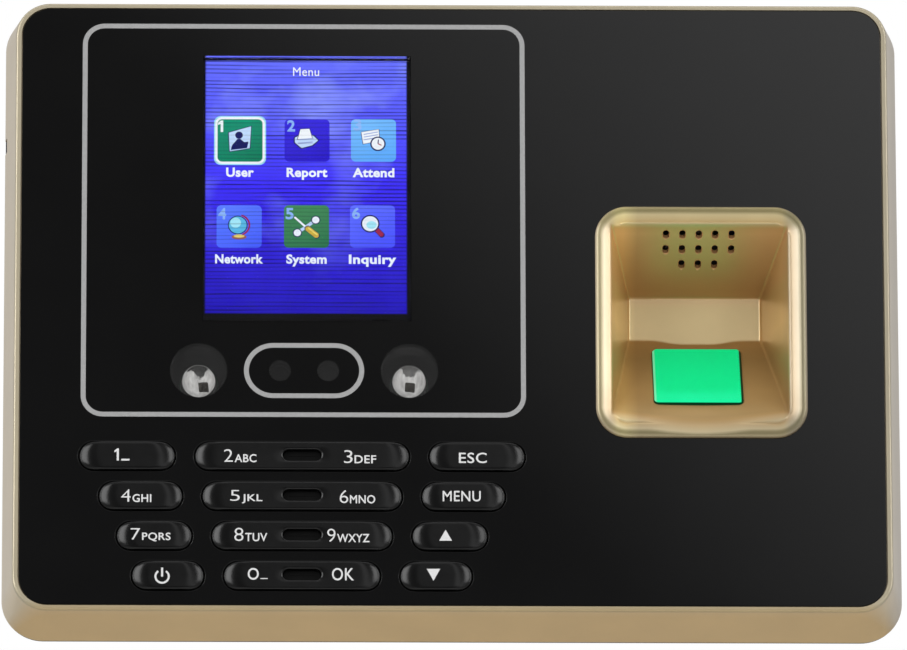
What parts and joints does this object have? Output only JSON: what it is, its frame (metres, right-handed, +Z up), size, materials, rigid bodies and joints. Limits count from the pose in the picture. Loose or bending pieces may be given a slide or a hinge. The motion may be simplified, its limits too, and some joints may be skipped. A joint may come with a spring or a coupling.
{
  "type": "fingerprint scanner terminal",
  "caption": "Wall-mounted access terminal with a screen, two cameras between infrared lamps, a keypad of single and rocker keys, and a fingerprint bay.",
  "frame": {"origin": "on the wall plane, at the centre of the wall bracket's four screw holes", "axes": "+X right as seen from the front, +Z up, +Y into the wall; the front panel faces -Y"},
  "size_m": [0.1908, 0.0372, 0.1414],
  "materials": {
    "gold_paint": "satin metallic champagne paint on ABS",
    "black_gloss": "polished acrylic",
    "black_matte": "fine-textured ABS",
    "key_plastic": "smooth black keycap plastic",
    "silver_ink": "printed silver line",
    "clear_window": "clear acrylic",
    "smoked_window": "smoked acrylic that passes infrared",
    "screen_glass": "lit LCD glass",
    "backlight": "white diffuser",
    "steel_sheet": "zinc-plated sheet",
    "screw_steel": "plated screw steel",
    "brass": "turned brass",
    "reflector": "vacuum-plated cup",
    "lamp_lens": "clear epoxy lens",
    "lens_glass": "coated lens glass",
    "circuit_board": "green solder mask",
    "chip_plastic": "moulded epoxy",
    "prism_glass": "optical prism lit green from behind",
    "cone_paper": "black speaker cone",
    "battery_wrap": "heat-shrink wrap",
    "cable_film": "flat flexible cable"
  },
  "bodies": {
    "bracket": {"wall_bracket": "steel_sheet"},
    "case": {"rear_cover": "black_matte", "front_shell": "gold_paint", "front_panel": "black_gloss", "frame_line": "silver_ink", "camera_ring": "silver_ink", "display_window": "clear_window", "lcd_frame": "steel_sheet", "lcd_screen": "screen_glass", "lcd_backlight": "backlight", "imaging_board": "circuit_board", "key_frame": "black_matte", "rocker_shaft": "screw_steel", "keypad_board": "circuit_board", "dome_array": "steel_sheet", "finger_bay": "gold_paint", "scanner_prism": "prism_glass", "sensor_housing": "black_matte", "sensor_board": "circuit_board", "speaker_frame": "screw_steel", "speaker_cone": "cone_paper", "main_board": "circuit_board", "board_components": "chip_plastic", "network_jack": "steel_sheet", "usb_port": "steel_sheet", "power_jack": "chip_plastic", "battery_pack": "battery_wrap", "lcd_flat_cable": "cable_film", "keypad_flat_cable": "cable_film", "sensor_flat_cable": "cable_film", "case_screws": "screw_steel", "board_screws": "screw_steel", "board_standoffs": "brass", "power_pin": "screw_steel", "ir_window_left": "smoked_window", "ir_reflector_left": "reflector", "ir_lamp_left": "lamp_lens", "camera_window_left": "smoked_window", "camera_holder_left": "black_matte", "camera_lens_left": "lens_glass", "ir_window_right": "smoked_window", "ir_reflector_right": "reflector", "ir_lamp_right": "lamp_lens", "camera_window_right": "smoked_window", "camera_holder_right": "black_matte", "camera_lens_right": "lens_glass"},
    "key_1": {"key_1": "key_plastic"},
    "key_4": {"key_4": "key_plastic"},
    "key_7": {"key_7": "key_plastic"},
    "key_power": {"key_power": "key_plastic"},
    "key_esc": {"key_esc": "key_plastic"},
    "key_menu": {"key_menu": "key_plastic"},
    "key_up": {"key_up": "key_plastic"},
    "key_down": {"key_down": "key_plastic"},
    "key_2_3": {"key_2_3": "key_plastic"},
    "key_5_6": {"key_5_6": "key_plastic"},
    "key_8_9": {"key_8_9": "key_plastic"},
    "key_0_ok": {"key_0_ok": "key_plastic"}
  },
  "joints": [
    {"name": "case_lift", "type": "slide", "parent": "bracket", "child": "case", "axis": [0, 0, 1], "range_m": [0, 0.006]},
    {"name": "press_key_1", "type": "slide", "parent": "case", "child": "key_1", "axis": [0, 1, 0], "range_m": [0, 0.0006], "stiffness_N_per_m": 2000},
    {"name": "press_key_4", "type": "slide", "parent": "case", "child": "key_4", "axis": [0, 1, 0], "range_m": [0, 0.0006], "stiffness_N_per_m": 2000},
    {"name": "press_key_7", "type": "slide", "parent": "case", "child": "key_7", "axis": [0, 1, 0], "range_m": [0, 0.0006], "stiffness_N_per_m": 2000},
    {"name": "press_key_power", "type": "slide", "parent": "case", "child": "key_power", "axis": [0, 1, 0], "range_m": [0, 0.0006], "stiffness_N_per_m": 2000},
    {"name": "press_key_esc", "type": "slide", "parent": "case", "child": "key_esc", "axis": [0, 1, 0], "range_m": [0, 0.0006], "stiffness_N_per_m": 2000},
    {"name": "press_key_menu", "type": "slide", "parent": "case", "child": "key_menu", "axis": [0, 1, 0], "range_m": [0, 0.0006], "stiffness_N_per_m": 2000},
    {"name": "press_key_up", "type": "slide", "parent": "case", "child": "key_up", "axis": [0, 1, 0], "range_m": [0, 0.0006], "stiffness_N_per_m": 2000},
    {"name": "press_key_down", "type": "slide", "parent": "case", "child": "key_down", "axis": [0, 1, 0], "range_m": [0, 0.0006], "stiffness_N_per_m": 2000},
    {"name": "rock_key_2_3", "type": "hinge", "parent": "case", "child": "key_2_3", "pos_m": [-0.03185, -0.0312, -0.034], "axis": [0, 0, 1], "range_deg": [-1.5, 1.5], "stiffness_Nm_per_rad": 0.6},
    {"name": "rock_key_5_6", "type": "hinge", "parent": "case", "child": "key_5_6", "pos_m": [-0.03185, -0.0312, -0.0429], "axis": [0, 0, 1], "range_deg": [-1.5, 1.5], "stiffness_Nm_per_rad": 0.6},
    {"name": "rock_key_8_9", "type": "hinge", "parent": "case", "child": "key_8_9", "pos_m": [-0.03185, -0.0312, -0.05175], "axis": [0, 0, 1], "range_deg": [-1.5, 1.5], "stiffness_Nm_per_rad": 0.6},
    {"name": "rock_key_0_ok", "type": "hinge", "parent": "case", "child": "key_0_ok", "pos_m": [-0.03185, -0.0312, -0.0606], "axis": [0, 0, 1], "range_deg": [-1.5, 1.5], "stiffness_Nm_per_rad": 0.6}
  ]
}
